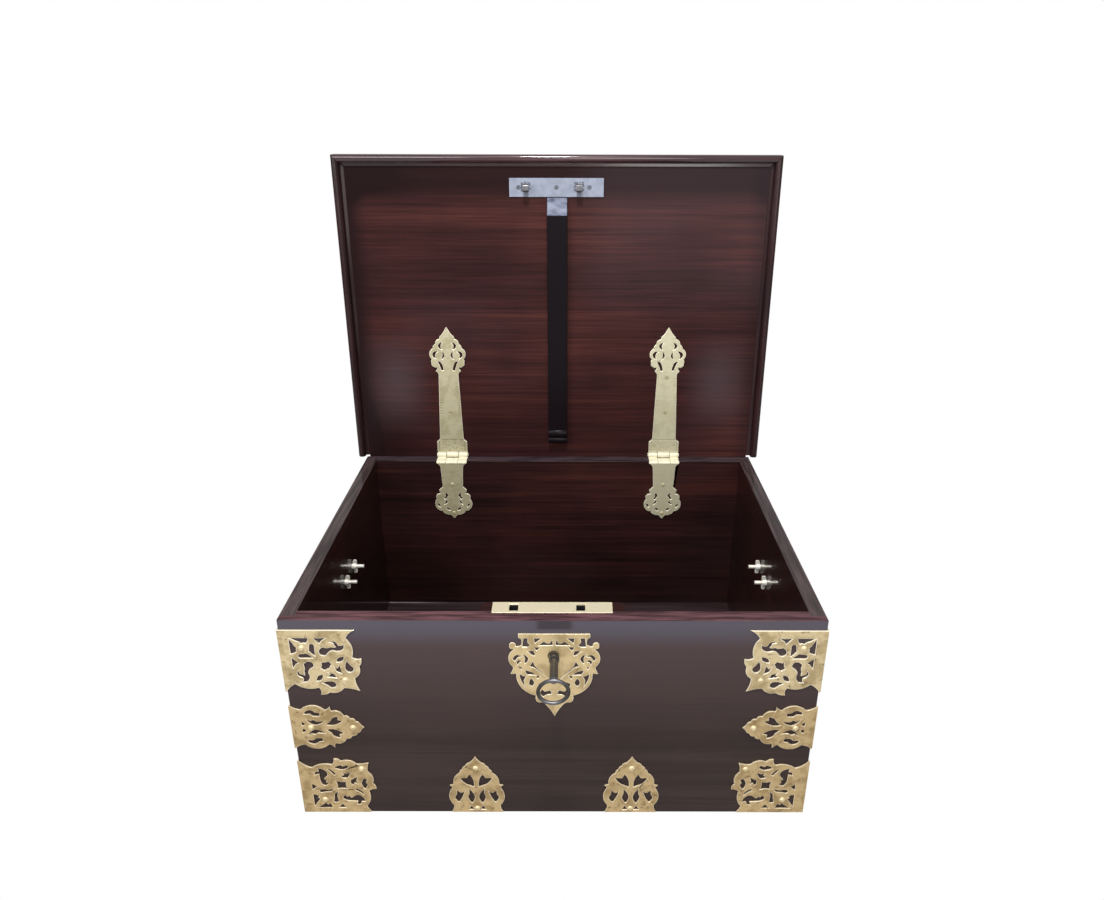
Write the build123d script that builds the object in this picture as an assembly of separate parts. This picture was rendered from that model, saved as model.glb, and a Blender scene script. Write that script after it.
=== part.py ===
from build123d import *
import os
from math import cos, radians

# Dowry chest of solid boards with pierced brass mounts, shown with its lid open.
# Millimetres. The origin is the middle of the underside, the front faces -Y and +Z is up.
os.makedirs("parts", exist_ok=True)

# Case
WIDTH, DEPTH, HEIGHT = 670.0, 480.0, 310.0
WALL = 19.0  # every board
CORNER_LAP = 9.0  # what is left of the front and back boards over a side board's end
TONGUE, TONGUE_T, TONGUE_Z = 7.0, 7.0, 6.0  # the bottom's tongue: reach, thickness, height

# Lid, measured when it is shut
LID_T = 19.0
FRONT_OVERHANG, SIDE_OVERHANG = 21.0, 14.0
LID_TAIL = 26.0  # how far the lid board runs on behind the hinge pins, to stop the lid
LID_OPEN = 91.3  # degrees
BEAD, BEAD_DROP = 12.0, 9.0  # moulding's bead: width, drop below the lid's underside
BAND, BAND_STEP = 6.0, 1.0  # flat beside the bead: width, step up from the lid board
RAIL_TONGUE, RAIL_TONGUE_T = 6.0, 6.0
RAIL_END = 1.0  # the side mouldings' ends behind the hinge pins
EDGE_R = 5.0  # rounding of the lid's top edge

# Strap hinges
HINGE_X = 185.0
HINGE_T, HINGE_PLAY = 2.4, 0.3
HINGE_W = 52.4
KNUCKLE_R, KNUCKLE_MID = 5.5, 21.0
PIN_R, PIN_HEAD_R, PIN_HEAD_T = 2.2, 3.4, 1.0
PIN_BEHIND = 1.2  # the pins' centre line behind the back board
PIN_UNDER = 0.3  # the lid's underside below the pins' centre line
KNUCKLE_GAP = 0.4
LID_STRAP_L, CHEST_STRAP_L = 231.0, 112.5
BEND_R = 4.0

# Lock
LOCK_BLOCK_W, LOCK_BLOCK_T, LOCK_BLOCK_H = 180.0, 19.5, 105.0
PLATE_W, PLATE_D, PLATE_T = 150.0, 23.0, 2.4
LOCK_X, KEY_X, KEY_DOWN = -1.0, 1.7, 52.0
STAPLE_IN = (25.7, 38.4)  # staples' distance from the case's left and right ends
STAPLE_BACK = 27.5  # staples' centre behind the front face
STAPLE_W, STAPLE_D, STAPLE_H = 9.5, 11.0, 16.0
STAPLE_EYE, STAPLE_EYE_DOWN = 6.4, 8.5
STAPLE_PLAY_X, STAPLE_PLAY_Y = 0.75, 1.25
HASP_W, HASP_D, HASP_T = 147.5, 28.4, 2.0
CASE_W, CASE_H, CASE_WALL = 147.4, 70.0, 1.2
CASE_FIT = 0.3
CASE_FRONT, CASE_BACK = 19.3, 35.5  # the case behind the front face
BOLT_THROW = 12.0
BOLT_T, BOLT_BAR_H, BOLT_ARM = 6.0, 14.0, 4.5
PRONG = 5.0
KEY_TO_BOLT = 10.0  # key's centre line to the bolt's lower edge
KEY_R, KEY_BIT_R, KEY_BIT_T, KEY_BIT_L = 5.2, 14.0, 3.0, 8.0
KEY_OUT = 46.0  # shank showing in front of the chest
BOW_W, BOW_L, BOW_R = 40.0, 43.0, 2.3
KEY_PLAY = 0.5
LOCK_PIN_R, LOCK_PIN_FIT = 2.0, 0.1
SPRING_T, SPRING_W, SPRING_SPAN = 0.8, 8.0, 36.0

# Batten on the lid
BATTEN_W, BATTEN_T = 32.0, 13.0
BATTEN_START, BATTEN_GAP = 28.0, 1.0  # its foot's distance from the hinge pins, its gap to the hasp plate
BATTEN_RAMP, BATTEN_TIP = 26.0, 3.0
BATTEN_FOOT, BATTEN_ROLL = 23.0, 2.5  # the foot's moulding: length, how far it stands out

# Brass mounts
MOUNT_T = 2.0
UPPER_MOUNT_W, UPPER_MOUNT_DOWN = 98.0, 13.5
LOWER_MOUNT_W, LOWER_MOUNT_TRIM, MOUNT_FLOOR_GAP = 98.5, 5.5, 0.8
SIDE_MOUNT_L = 92.0
FOOT_MOUNT_W, FOOT_MOUNT_X = 72.0, 103.0
ESCUTCHEON_W, ESCUTCHEON_DOWN = 112.8, 18.5
NAIL_HEAD_R, NAIL_HEAD_T, NAIL_R, NAIL_L = 4.0, 2.2, 1.0, 12.0
SCREW_HEAD_R, SCREW_HEAD_T, SCREW_R, SCREW_L = 3.6, 1.0, 1.5, 11.0
SCREW_SINK = 1.5
SLOT_W, SLOT_DEEP, SLOT_TURN = 0.9, 0.5, 35.0
NAIL_FIT = 0.05

# Drop handles on the sides
HANDLE_Z, HANDLE_STUDS = 222.0, 44.0
STUD_R, STUD_INSIDE, STUD_FIT = 2.8, 17.5, 0.05
EYE_R, EYE_OUT, EYE_PIVOT = 6.0, 14.0, 8.0
BAIL_R, BAIL_PIN_R, BAIL_FIT = 4.0, 2.5, 0.08
BAIL_W, BAIL_DROP, BAIL_SIDE_GAP = 96.0, 46.0, 0.7
NUT_R, NUT_L, WING_W, WING_T, WING_H = 5.0, 5.5, 22.0, 2.6, 6.0
BACKPLATE_W, BACKPLATE_H = 76.0, 30.0

# Places that follow from the sizes
FRONT_Y, BACK_Y = -DEPTH / 2, DEPTH / 2
SIDE_X = WIDTH / 2
INNER_X, INNER_FRONT, INNER_BACK = SIDE_X - WALL, FRONT_Y + WALL, BACK_Y - WALL
PIN_Y = BACK_Y + PIN_BEHIND
UNDER_Z = HEIGHT + HINGE_T + HINGE_PLAY  # the shut lid's underside
PIN_Z = UNDER_Z + PIN_UNDER
LID_FRONT = FRONT_Y - FRONT_OVERHANG
RAIL_W = BEAD + BAND
PANEL_X, PANEL_FRONT, PANEL_BACK = SIDE_X + SIDE_OVERHANG - RAIL_W, LID_FRONT + RAIL_W, PIN_Y + LID_TAIL
STAPLE_X = (LOCK_X - CASE_W / 2 + STAPLE_IN[0], LOCK_X + CASE_W / 2 - STAPLE_IN[1])
STAPLE_Y = FRONT_Y + STAPLE_BACK
BATTEN_END = PIN_Y - STAPLE_Y - HASP_D / 2 - BATTEN_GAP
KEY_Z = HEIGHT - KEY_DOWN
PLATE_BACK = INNER_FRONT + LOCK_BLOCK_T
PLATE_FRONT = PLATE_BACK - PLATE_D
CASE_Y = (FRONT_Y + CASE_FRONT, FRONT_Y + CASE_BACK)
CASE_TOP = HEIGHT - PLATE_T
PRONG_Z = UNDER_Z - HASP_T - STAPLE_EYE_DOWN
BOLT_Z = KEY_Z + KEY_TO_BOLT
KNUCKLE_CLEAR = KNUCKLE_R + 0.6
HANDLE_X = SIDE_X + MOUNT_T + EYE_PIVOT

# Ornament outlines: (u, v, rise), where rise bows the line to the next point outwards.
# Half of each is drawn; the corner mounts are alike about their diagonal, the rest about a line.
UPPER_MOUNT = [(0, 0, 0), (93.5, 0, -1.5), (81.5, 12, 4.2), (87, 40.5, -1.8), (98, 42, 1.4),
               (94.4, 54.5, 3.4), (87.6, 72.2, -1.2), (92.5, 92.5, 0)]
UPPER_HOLES = [
    [(13.6, 11.8, 0), (35.3, 11.8, 0), (34.2, 15.5, 0), (32, 19.4, -0.8), (25.8, 19.8, -0.8), (20, 16, 0)],
    [(42, 12, 0), (56.5, 12, 0), (51, 15.8, 0), (48.4, 19.8, 0), (45.2, 15.8, 0)],
    [(35.8, 23, 2.4), (41.6, 23, 0), (41.4, 38.5, 0), (37.6, 35, -0.4), (34.8, 31.8, 0)],
    [(61, 17.8, 1.6), (69.4, 18.5, 0), (71.5, 22.8, -1), (78.4, 21.6, 0), (77.6, 27, 2.4), (65, 30, -1),
     (57.5, 33.4, 0), (54.8, 37.4, 1), (48.2, 36, 1.6), (49, 28, 1.2), (54.5, 26.4, -0.8), (62, 25.2, -0.8),
     (69, 25.2, 0.8), (66.5, 19.8, -0.5)],
    [(69.4, 41.8, 0.6), (76.6, 39.4, 0.6), (74.8, 45.2, 0.8), (67.2, 47.6, 0.6)],
    [(79.7, 46.2, -0.6), (86.8, 56, 1.6), (83, 63, 1.6), (77.2, 57.5, 0.8)],
    [(63.6, 55.2, 0), (66.8, 57.8, 0), (70, 53.2, 0), (72, 65, 0), (66, 62, 0)],
]
UPPER_CENTRE = [(48.2, 48.2, -0.8), (57, 46.6, 0), (60.4, 51, -0.6), (57, 57, -0.6), (51, 60.4, 0),
                (46.6, 57, -0.8)]
UPPER_NAILS = [(26, 26), (75, 75)]
LOWER_MOUNT = [(0, 0, 0), (95, 0, -1.5), (83.4, 16.3, 3.4), (88.5, 42.5, -1.6), (98.5, 46, 1.5),
               (94.5, 56, 3.6), (89.8, 76, -1), (92, 92, 0)]
LOWER_HOLES = [
    [(16.5, 13, 0), (36.6, 13, 0), (35.8, 17, 0), (33.8, 20.8, 0), (31, 18.2, 0), (28.4, 21.5, 0),
     (24, 18, 0)],
    [(45.4, 13.2, 0), (55.2, 13.2, 0), (50.5, 19.8, 0)],
    [(39.5, 24, 1.4), (45.5, 24, 0.3), (44.7, 33.5, -0.4), (47, 42, 0), (41.6, 37, -0.6)],
    [(52.5, 29.4, 0.8), (61, 25.4, 0), (72.4, 24.8, 0), (70.6, 18.8, 0), (75.8, 19.8, -0.6), (76.8, 25, 0),
     (81.6, 23.6, 1.5), (76.5, 34.2, 2), (67, 32.8, 0), (64.2, 30.4, -0.8), (61.4, 34.2, 0), (58.2, 32, 0),
     (55.6, 35.4, 0.8)],
    [(70.4, 44.4, -0.5), (80.6, 36.4, 0), (81, 38.8, 0.9), (71.4, 47.2, 0)],
    [(83, 46.4, 0.8), (87.3, 54.5, 0), (85, 57.5, 0), (87.4, 62, 0), (84, 64.8, 0.8), (79.7, 56, 0.6)],
    [(67.6, 53.2, 0), (70.6, 58, 0), (74.2, 55.4, 0), (72.6, 60.5, 0), (74.6, 66.8, 0), (67.4, 62.6, 1.2),
     (65.8, 57.5, 0.6)],
]
LOWER_CENTRE = [(47, 47, -1), (60, 46, -1), (58.6, 58.6, -1), (46, 60, -1)]
LOWER_NAILS = [(28.5, 28.5), (82, 82)]
SIDE_MOUNT = [(0, -34.5, -1.4), (13, -28.6, 7.2), (44, -27.8, -0.6), (51, -34, -0.4), (52, -26.2, 3.8),
              (67.5, -18.3, 2.2), (75, -14, 2), (82, -9.4, 0.8), (86.5, -6.5, -0.6), (92, 0, 0)]
SIDE_HOLES = [
    [(16.4, -21.6, 1.6), (24.5, -27.6, 0.8), (30.4, -24, 0), (37, -22.8, 0), (35.7, -17.8, 0), (28, -18, 0),
     (24, -21.6, 0.4)],
    [(18.6, -13, 0), (23.4, -9.6, 0), (27.2, -11.8, 0), (31.5, -9, 0), (40.8, -9.6, 1), (29, -3.5, 1.6)],
    [(43.4, -4.5, 0), (49, -9.6, 0), (51, -13.8, 0.8), (59.2, -17.2, 0), (58.6, -11.6, 0), (64.4, -10.2, 0.8),
     (54, -3.7, 1)],
    [(11.8, -8.6, 0), (13.6, -8.2, 0), (16.8, -4.6, 0), (12.2, -2.3, 0)],
]
SIDE_NAILS = [(23.5, 0), (77.5, 0)]
FOOT_MOUNT = [(35.3, 0, -1.2), (31.6, 13, 5.2), (32.5, 42.5, -0.8), (36, 47.6, -0.4), (30.2, 49.8, 3.4),
              (21.5, 69, 1.2), (18, 75, 1.2), (13.5, 81, 1.2), (8.5, 86.2, -0.8), (0, 97.3, 0)]
FOOT_HOLES = [
    [(3.4, 44.8, 0), (13, 49.2, 0.8), (21.2, 60.2, 0), (12.2, 60, 0), (9, 66.2, 0.8), (3.8, 55.5, 0.4)],
    [(7, 16.4, 0.8), (11.8, 27.5, 0), (10.3, 31, -0.6), (10.2, 40.8, 1), (3, 28.5, 1.2)],
    [(24.5, 18, 0.5), (29.2, 25, 0.5), (26.8, 31, -0.3), (26.6, 38.6, 0), (21.5, 34.2, -0.6), (16, 36.8, 0),
     (19.3, 27.5, 0.4)],
    [(4.4, 4.6, 0), (11.2, 4.6, 0), (7.7, 11.6, 0)],
]
FOOT_NAILS = [(0, 77.5), (0, 7.6)]
ESCUTCHEON = [(0, -126.5, -1), (12.5, -106, 0), (16.5, -103.8, 2.2), (23.4, -99.5, 0.8), (23, -93.5, 7.8),
              (47.4, -59.2, 0.4), (54.6, -59.8, -0.8), (51, -49.4, 6.4), (49.4, -22.8, 0), (50.4, -22.2, 2.2),
              (54.9, -17.4, 2), (50.2, -13, 1.6), (47.2, -18.2, -1.2), (40.2, -16, -0.4), (40.6, -7.6, 0),
              (44, -5.6, 0), (44, 0, 0), (0, 0, 0)]
ESCUTCHEON_HOLES = [
    [(29, -16.8, 0), (33, -19.6, 0), (38.8, -19.2, 0), (37.4, -6.8, 0), (32.4, -6.8, 0), (32.8, -12.4, -0.6)],
    [(16, -6.8, 0), (23.4, -13.8, 0), (24.6, -6.8, 0)],
    [(1.8, -16.8, 0), (18.8, -17, 0), (12.6, -11.4, 0), (9.6, -13.8, -0.6), (4.6, -13.4, 0), (2.4, -9.4, 0)],
    [(17.6, -19.8, 0), (21.6, -25, 0), (24.6, -20, 0)],
    [(24.2, -32.6, 0), (27.8, -30.8, -0.6), (32.8, -26, 0), (26.2, -25, 1)],
    [(36.3, -44.4, 0.2), (35.8, -37.4, -0.4), (38.4, -30.4, 0.8), (32.2, -36.5, 1)],
    [(40, -33.4, 0), (44.6, -34.6, -0.4), (48.6, -40.6, 0.2), (50.8, -37.4, 0.8), (46.4, -31.2, 0.4)],
    [(40.6, -41.6, 0), (43.2, -42.2, -0.3), (45, -46.4, 0), (46.4, -42.6, 0.6), (43.4, -39, 0.6)],
    [(39.8, -50, 0), (41.2, -53.2, 0), (43.4, -49, 0)],
    [(12, -62.6, 0), (22.6, -51.8, -0.5), (30.4, -48.6, 0), (26.4, -41.6, 0), (24.2, -48, 0)],
    [(23, -61.4, 0), (32.8, -61.2, 0.8), (35.8, -54.6, 0), (29, -56.6, 0.4)],
    [(17.8, -62.8, 0), (20.6, -67.4, 0), (23, -63.8, 0)],
    [(37.4, -78.4, 0), (41.2, -70.5, 0.3), (43.2, -60.4, 0), (39, -63.2, -0.3), (35.4, -63.4, 0),
     (38.4, -70, 0)],
    [(28, -78.8, 1.2), (31.3, -73.4, 0.6), (28.8, -67.2, 0.4), (25.3, -73, 0.6)],
    [(14.4, -72.6, 0), (18, -82.6, 0), (19.8, -76, 0.5)],
    [(3.2, -91.2, 0), (9, -91.8, -0.4), (14, -95.2, 0.6), (18, -89, 0), (15.6, -84, 0), (12.4, -87.4, 0),
     (5.4, -85.4, 0)],
]
LID_STRAP = [(26.2, 26.3, -1), (20.6, 31.8, 0), (16.8, 149, 0), (21.4, 154.5, -1), (18.6, 161, 0.9),
             (24, 161.4, 1.8), (27.6, 168.6, 1.2), (26.6, 174.8, 5.2), (24.2, 194, 1.4), (20, 201, 2.4),
             (12.6, 210.2, 1), (9.6, 216, -0.4), (0, 231, 0)]
LID_STRAP_HOLES = [
    [(7.8, 155.4, 0.6), (11.4, 156, -0.6), (17.6, 171.4, 0), (12.4, 169.8, 1)],
    [(19.8, 176.2, 1.6), (25.2, 183, 2.4), (16.4, 188.2, -2.6)],
    [(9.2, 192.2, 1.4), (15, 198, 1.8), (8, 203.6, -2.4)],
    [(9.8, 174.8, -1), (8.7, 187.8, 0.8), (5.2, 180.5, 0.6)],
]
LID_STRAP_SCREWS = [(-17, 19), (17, 19), (0, 79), (0, 143)]
CHEST_STRAP = [(26.2, 3.5, -1), (19.8, 11.5, 0), (17.8, 49, 0), (24.4, 55, 0.6), (21.6, 61.8, -0.4),
               (24, 62.4, 2.2), (30.4, 70.2, 0.4), (28.8, 72.8, 4.6), (28, 94.4, 1), (20.6, 97, 1.6),
               (13.4, 103.4, 1.2), (6.8, 104.4, -0.3), (0, 112.5, 0)]
CHEST_STRAP_HOLES = [
    [(12.9, 61.6, 0.5), (12.9, 67, -0.5), (16.4, 71.4, 0.4), (13.6, 73.4, 0.2), (9.2, 66.5, 0.8)],
    [(12.2, 76.6, 0.4), (16, 83.8, 0.4), (9.9, 79.2, 0)],
    [(27.4, 82, 0.5), (27.7, 86, 0.4), (23.6, 89, 0.2), (24.8, 84.4, 0.2)],
    [(12.8, 90.4, 0.3), (11.6, 94.2, 0.3), (6.2, 96, 0), (8, 91.6, 0.3)],
]
CHEST_STRAP_SCREWS = (44.7, 101.0)
HASP_SCREWS = (-59.4, 0.0, 51.4)


def block(x0, x1, y0, y1, z0, z1):
    """Box between two corners."""
    return Pos((x0 + x1) / 2, (y0 + y1) / 2, (z0 + z1) / 2) * Box(x1 - x0, y1 - y0, z1 - z0)


def rod(x, y, z, radius, length, along):
    """Cylinder that starts at a point and runs along X, Y or Z, backwards if length is negative."""
    turn = {"X": Rot(0, 90, 0), "Y": Rot(-90, 0, 0), "Z": Rot(0, 0, 0)}[along]
    return Pos(x, y, z) * turn * Pos(0, 0, length / 2) * Cylinder(radius, abs(length))


def left_right(u, v):
    return -u, v


def diagonal(u, v):
    return v, u


def whole(half, flip):
    """Joins half an outline to its mirror image, with the points on the mirror line kept once."""
    loop = list(half[:-1]) + [(half[-1][0], half[-1][1], half[-2][2])]
    for i in range(len(half) - 2, -1, -1):
        u, v, _ = half[i]
        if flip(u, v) != (u, v):
            loop.append((*flip(u, v), half[i - 1][2] if i else 0))
    return loop


def flipped(loop, flip):
    """The mirror image of a closed outline."""
    rises = [loop[i - 1][2] for i in range(len(loop))]
    return [(*flip(u, v), rise) for (u, v, _), rise in zip(reversed(loop), reversed(rises))]


def drawn(loop, scale):
    """Face inside a closed outline of straight lines and arcs."""
    edges = []
    for (u0, v0, rise), (u1, v1, _) in zip(loop, loop[1:] + loop[:1]):
        start, end = Vector(u0, v0) * scale, Vector(u1, v1) * scale
        if rise:
            along = (end - start).normalized()
            middle = (start + end) * 0.5 + Vector(along.Y, -along.X) * rise * scale
            edges.append(ThreePointArc(start, middle, end))
        else:
            edges.append(Line(start, end))
    return make_face(edges)


def pierced(half, holes, flip, scale, thickness, centre=None):
    """Plate from half an outline, with its openings cut on both sides of the mirror line."""
    cuts = [drawn(shape, scale) for hole in holes for shape in (hole, flipped(hole, flip))]
    if centre:
        cuts.append(drawn(centre, scale))
    return extrude(drawn(whole(half, flip), scale) - cuts, thickness)


def fit_scale(half, width):
    """Scale that gives half an outline its named reach from the mirror line or the corner."""
    return width / max(u for u, _, _ in half)


UPPER_SCALE = fit_scale(UPPER_MOUNT, UPPER_MOUNT_W)
LOWER_SCALE = fit_scale(LOWER_MOUNT, LOWER_MOUNT_W)
SIDE_SCALE = fit_scale(SIDE_MOUNT, SIDE_MOUNT_L)
FOOT_SCALE = fit_scale(FOOT_MOUNT, FOOT_MOUNT_W / 2)
ESCUTCHEON_SCALE = fit_scale(ESCUTCHEON, ESCUTCHEON_W / 2 - 1.2)
LID_STRAP_SCALE = LID_STRAP_L / LID_STRAP[-1][1]
CHEST_STRAP_SCALE = CHEST_STRAP_L / CHEST_STRAP[-1][1]
UPPER_MOUNT_Z = HEIGHT - UPPER_MOUNT_DOWN
UPPER_LOW = UPPER_MOUNT_Z - UPPER_MOUNT_W
LOWER_HIGH = MOUNT_FLOOR_GAP + LOWER_MOUNT_W - LOWER_MOUNT_TRIM
SIDE_MOUNT_Z = (UPPER_LOW + LOWER_HIGH) / 2


def on_front(x, z):
    """Plane on the front face with its own y up the chest."""
    return Plane(origin=(x, FRONT_Y, z), x_dir=(1, 0, 0), z_dir=(0, -1, 0))


def nail(x, z):
    """Round-headed nail driven into the front face through a mount."""
    head = Pos(x, FRONT_Y - MOUNT_T, z) * Rot(90, 0, 0) * Pos(0, 0, NAIL_HEAD_T / 2) * Cone(
        NAIL_HEAD_R, NAIL_HEAD_R * 0.55, NAIL_HEAD_T)
    return head + rod(x, FRONT_Y - MOUNT_T, z, NAIL_R, NAIL_L, "Y")


def nail_hole(x, z):
    return rod(x, FRONT_Y - MOUNT_T - 1, z, NAIL_R + NAIL_FIT, NAIL_L + 1 + CASE_FIT, "Y")


def slot(top):
    """Slot of a screw whose head ends at a height."""
    return Pos(0, 0, top) * Rot(0, 0, SLOT_TURN) * Box(3 * SCREW_HEAD_R, SLOT_W, 2 * SLOT_DEEP)


def screw(x, y, z, turn):
    """Wood screw whose shank starts at a point and runs along its own -Z."""
    head = Pos(0, 0, SCREW_HEAD_T / 2) * Cone(SCREW_HEAD_R, SCREW_HEAD_R * 0.7, SCREW_HEAD_T)
    whole_screw = head + Pos(0, 0, -SCREW_L / 2) * Cylinder(SCREW_R, SCREW_L)
    return Pos(x, y, z) * turn * (whole_screw - slot(SCREW_HEAD_T))


def screw_hole(x, y, z, turn):
    depth = SCREW_L + CASE_FIT
    return Pos(x, y, z) * turn * Pos(0, 0, -depth / 2) * Cylinder(SCREW_R + NAIL_FIT, depth)


def sunk_screw(x, y, z, turn):
    """Wood screw with its flat head let into what it holds."""
    head = Pos(0, 0, -SCREW_SINK / 2) * Cone(SCREW_R, SCREW_HEAD_R, SCREW_SINK)
    whole_screw = head + Pos(0, 0, -SCREW_L / 2) * Cylinder(SCREW_R, SCREW_L)
    return Pos(x, y, z) * turn * (whole_screw - slot(0))


def sunk_hole(x, y, z, turn):
    head = Pos(0, 0, -SCREW_SINK / 2) * Cone(SCREW_R + NAIL_FIT, SCREW_HEAD_R + NAIL_FIT, SCREW_SINK)
    return screw_hole(x, y, z, turn) + Pos(x, y, z) * turn * head


def around_corner(leaf, edge_low, edge_high):
    """Joins a leaf on the front to its twin on the left side, round the chest's corner."""
    corner = Plane(origin=(-SIDE_X, FRONT_Y, 0), z_dir=(1, -1, 0))
    bend = block(-SIDE_X - MOUNT_T, -SIDE_X, FRONT_Y - MOUNT_T, FRONT_Y, edge_low, edge_high)
    return leaf + mirror(leaf, about=corner) + bend


def with_twins(nails):
    """Nails in a front leaf and their twins in the side leaf."""
    corner = Plane(origin=(-SIDE_X, FRONT_Y, 0), z_dir=(1, -1, 0))
    return nails + [mirror(one, about=corner) for one in nails]


def both_ends(pieces):
    """Pieces at the left corner and their mirror images at the right one."""
    return pieces + [mirror(one, about=Plane.YZ) for one in pieces]


# Nails of the front: their own places, used for the nails and for their holes
CORNER_SPOTS = (
    [(-SIDE_X + u * UPPER_SCALE, UPPER_MOUNT_Z - v * UPPER_SCALE) for u, v in UPPER_NAILS]
    + [(-SIDE_X + u * LOWER_SCALE, MOUNT_FLOOR_GAP + v * LOWER_SCALE - LOWER_MOUNT_TRIM)
       for u, v in LOWER_NAILS]
    + [(-SIDE_X + u * SIDE_SCALE, SIDE_MOUNT_Z + v * SIDE_SCALE) for u, v in SIDE_NAILS]
)
FOOT_SPOTS = [
    (side * FOOT_MOUNT_X + u * FOOT_SCALE, MOUNT_FLOOR_GAP + v * FOOT_SCALE)
    for side in (-1, 1) for u, v in FOOT_NAILS
]


def corner_mount(half, holes, centre, scale, z, up, trim=0):
    """Mount round the left front corner, trimmed along its edge; its leaves go up (1) or down (-1) from z."""
    leaf = on_front(-SIDE_X, -trim) * pierced(half, holes, diagonal, scale, MOUNT_T, centre)
    if trim:
        leaf -= block(-SIDE_X - 1, SIDE_X, FRONT_Y - MOUNT_T - 1, FRONT_Y + 1, -2 * trim, 0)
    if up < 0:
        leaf = mirror(leaf, about=Plane.XY)
    edge = up * (half[1][0] * scale - trim)
    return around_corner(Pos(0, 0, z) * leaf, min(z, z + edge), max(z, z + edge))


def side_mount():
    leaf = pierced(SIDE_MOUNT, SIDE_HOLES, lambda u, v: (u, -v), SIDE_SCALE, MOUNT_T)
    placed = on_front(-SIDE_X, SIDE_MOUNT_Z) * leaf
    half_edge = -SIDE_MOUNT[0][1] * SIDE_SCALE
    return around_corner(placed, SIDE_MOUNT_Z - half_edge, SIDE_MOUNT_Z + half_edge)


def drill(mount, spots):
    """Nail holes of the front leaf and, where it has one, of the side leaf."""
    holes = with_twins([nail_hole(x, z) for x, z in spots])
    return mount - holes


def keyhole(front, back, play):
    """Round keyhole with a slot below it for the key's bit."""
    hole = rod(KEY_X, front, KEY_Z, KEY_R + play, back - front, "Y")
    half_slot = KEY_BIT_T / 2 + play
    return hole + block(KEY_X - half_slot, KEY_X + half_slot, front, back, KEY_Z - KEY_BIT_R - play, KEY_Z)


def hinge_spots():
    return (-HINGE_X, HINGE_X)


def barrel_room(x):
    """Hollow for a hinge's knuckles, in the back board and in the lid."""
    length = HINGE_W + 2 * (PIN_HEAD_T + CASE_FIT)
    return rod(x - length / 2, PIN_Y, PIN_Z, KNUCKLE_CLEAR, length, "X")


def rim_step(x):
    """Recess in the back board's top edge for a hinge's leaf."""
    return block(x - HINGE_W / 2, x + HINGE_W / 2, INNER_BACK, BACK_Y, HEIGHT - HINGE_T, HEIGHT)


def plate_step():
    return block(LOCK_X - PLATE_W / 2, LOCK_X + PLATE_W / 2, PLATE_FRONT, PLATE_BACK, CASE_TOP, HEIGHT)


def end_board(inner, outer):
    """Front or back board: full width, rebated at its ends, grooved for the bottom."""
    low, high = min(inner, outer), max(inner, outer)
    into = 1 if outer > inner else -1
    board = block(-SIDE_X, SIDE_X, low, high, 0, HEIGHT)
    lap = outer - into * CORNER_LAP
    for side in (-1, 1):
        x0, x1 = sorted((side * INNER_X, side * SIDE_X))
        board -= block(x0, x1, min(inner, lap), max(inner, lap), 0, HEIGHT)
    groove = inner + into * TONGUE
    return board - block(-INNER_X, INNER_X, min(inner, groove), max(inner, groove), TONGUE_Z,
                         TONGUE_Z + TONGUE_T)


def chest_screws():
    """Screws through the hinges' lower leaves into the back board."""
    turn = Rot(90, 0, 0)
    y = INNER_BACK - HINGE_T
    return [(x, y, HEIGHT - down * CHEST_STRAP_SCALE, turn)
            for x in hinge_spots() for down in CHEST_STRAP_SCREWS]


def lid_screws():
    """Screws through the hinges' upper leaves, with the lid shut."""
    turn = Rot(180, 0, 0)
    return [(x + across * LID_STRAP_SCALE, PIN_Y - out * LID_STRAP_SCALE, UNDER_Z - HINGE_T, turn)
            for x in hinge_spots() for across, out in LID_STRAP_SCREWS]


def hasp_screws():
    turn = Rot(180, 0, 0)
    return [(LOCK_X + x, STAPLE_Y, UNDER_Z - HASP_T, turn) for x in HASP_SCREWS]


def front_board():
    board = end_board(INNER_FRONT, FRONT_Y) - plate_step()
    board -= keyhole(FRONT_Y, INNER_FRONT, KEY_PLAY)
    spots = CORNER_SPOTS + [(-x, z) for x, z in CORNER_SPOTS] + FOOT_SPOTS
    return board - [nail_hole(x, z) for x, z in spots]


def back_board():
    board = end_board(INNER_BACK, BACK_Y)
    board -= [barrel_room(x) for x in hinge_spots()]
    board -= [rim_step(x) for x in hinge_spots()]
    return board - [screw_hole(*place) for place in chest_screws()]


def side_board():
    """Left side board: full thickness between the laps, grooved for the bottom."""
    board = block(-SIDE_X, -INNER_X, FRONT_Y + CORNER_LAP, BACK_Y - CORNER_LAP, 0, HEIGHT)
    board -= block(-INNER_X - TONGUE, -INNER_X, FRONT_Y + CORNER_LAP, BACK_Y - CORNER_LAP, TONGUE_Z,
                   TONGUE_Z + TONGUE_T)
    board -= with_twins([nail_hole(x, z) for x, z in CORNER_SPOTS])
    return board - [rod(-SIDE_X, y, HANDLE_Z, STUD_R + STUD_FIT, WALL, "X") for y in stud_spots()]


def bottom_board():
    board = block(-INNER_X, INNER_X, INNER_FRONT, INNER_BACK, 0, WALL)
    reach = TONGUE - CASE_FIT
    return board + block(-INNER_X - reach, INNER_X + reach, INNER_FRONT - reach, INNER_BACK + reach,
                         TONGUE_Z, TONGUE_Z + TONGUE_T)


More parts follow.
